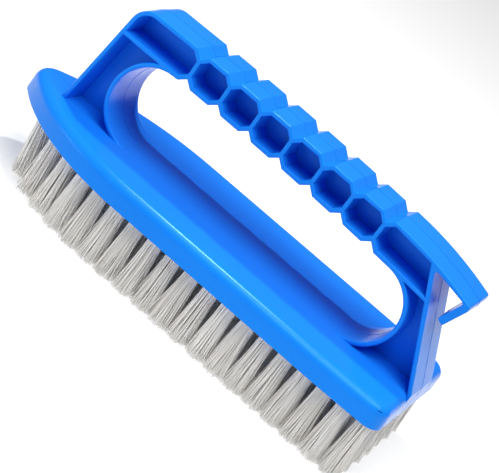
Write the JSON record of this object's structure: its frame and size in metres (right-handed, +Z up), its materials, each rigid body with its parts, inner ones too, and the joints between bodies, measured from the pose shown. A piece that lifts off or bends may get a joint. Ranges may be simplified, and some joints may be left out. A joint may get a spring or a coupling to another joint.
{
  "type": "hand scrubbing brush",
  "caption": "Iron-shaped hand scrubbing brush: one-piece plastic base with a webbed loop handle and a hanging hook, and ranks of trimmed nylon tufts set in sockets.",
  "frame": {"origin": "on the surface the trimmed bristles stand on, under the middle of the base", "axes": "+X from the pointed nose towards the square stern, +Y across the brush, +Z up from the bristle tips to the handle"},
  "size_m": [0.1499, 0.062, 0.0651],
  "materials": {
    "blue_plastic": "clear, slightly translucent blue, smooth gloss",
    "nylon_bristle": "milky translucent filament",
    "anchor_wire": "flattened wire"
  },
  "bodies": {
    "root": {"anchor_rank_01": "anchor_wire", "anchor_rank_02": "anchor_wire", "anchor_rank_03": "anchor_wire", "anchor_rank_04": "anchor_wire", "anchor_rank_05": "anchor_wire", "anchor_rank_06": "anchor_wire", "anchor_rank_07": "anchor_wire", "anchor_rank_08": "anchor_wire", "anchor_rank_09": "anchor_wire", "anchor_rank_10": "anchor_wire", "anchor_rank_11": "anchor_wire", "anchor_rank_12": "anchor_wire", "anchor_rank_13": "anchor_wire", "anchor_rank_14": "anchor_wire", "anchor_rank_15": "anchor_wire", "anchor_rank_16": "anchor_wire", "anchor_rank_17": "anchor_wire", "anchor_rank_18": "anchor_wire", "anchor_rank_19": "anchor_wire", "brush_body": "blue_plastic", "tuft_rank_01": "nylon_bristle", "tuft_rank_02": "nylon_bristle", "tuft_rank_03": "nylon_bristle", "tuft_rank_04": "nylon_bristle", "tuft_rank_05": "nylon_bristle", "tuft_rank_06": "nylon_bristle", "tuft_rank_07": "nylon_bristle", "tuft_rank_08": "nylon_bristle", "tuft_rank_09": "nylon_bristle", "tuft_rank_10": "nylon_bristle", "tuft_rank_11": "nylon_bristle", "tuft_rank_12": "nylon_bristle", "tuft_rank_13": "nylon_bristle", "tuft_rank_14": "nylon_bristle", "tuft_rank_15": "nylon_bristle", "tuft_rank_16": "nylon_bristle", "tuft_rank_17": "nylon_bristle", "tuft_rank_18": "nylon_bristle", "tuft_rank_19": "nylon_bristle"}
  },
  "joints": []
}
